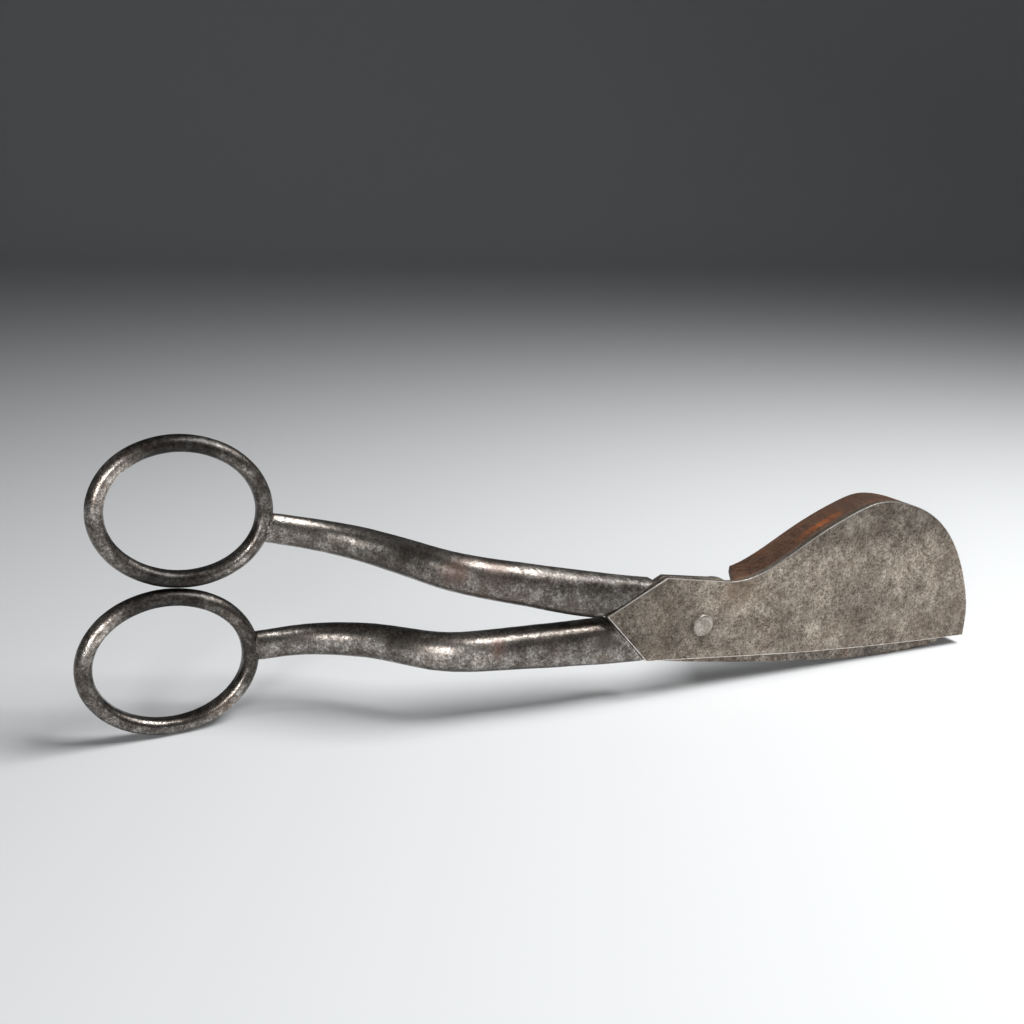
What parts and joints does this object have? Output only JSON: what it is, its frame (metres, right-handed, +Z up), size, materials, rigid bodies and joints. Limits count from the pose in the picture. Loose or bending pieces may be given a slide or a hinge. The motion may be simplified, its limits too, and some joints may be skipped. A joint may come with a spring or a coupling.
{
  "type": "lamp wick trimmer",
  "caption": "Hand scissors for trimming lamp and candle wicks, with a walled tray on one blade to catch the trimmings and two oval finger bows.",
  "frame": {"origin": "middle of the bounding box in plan, on the floor that the lower bow and the blade's belly stand on", "axes": "+X from the finger bows to the tip, +Y from the pan's flat outer face towards the tray's open side, +Z up with the trimmer standing on edge as it is shown"},
  "size_m": [0.1805, 0.0236, 0.0545],
  "materials": {
    "plate_steel": "forged steel, mottled grey patina with fine dark pits and worn bright edges",
    "rim_steel": "forged steel, brown patina with orange rust",
    "shank_steel": "forged steel, dark brown-grey patina worn lighter where it is handled",
    "bow_steel": "forged steel, near-black patina worn lighter on the crown",
    "rivet_steel": "steel, worn bright"
  },
  "bodies": {
    "pan_lever": {"pan_plate": "plate_steel", "pan_rim": "rim_steel", "pan_shank": "shank_steel", "pan_bow": "bow_steel", "pivot_rivet": "rivet_steel"},
    "knife_lever": {"knife_blade": "plate_steel", "knife_shank": "shank_steel", "knife_bow": "bow_steel"}
  },
  "joints": [
    {"name": "pivot", "type": "hinge", "parent": "pan_lever", "child": "knife_lever", "pos_m": [0.02353, -0.01176, 0.01359], "axis": [0, 1, 0], "range_deg": [0, 38]}
  ]
}
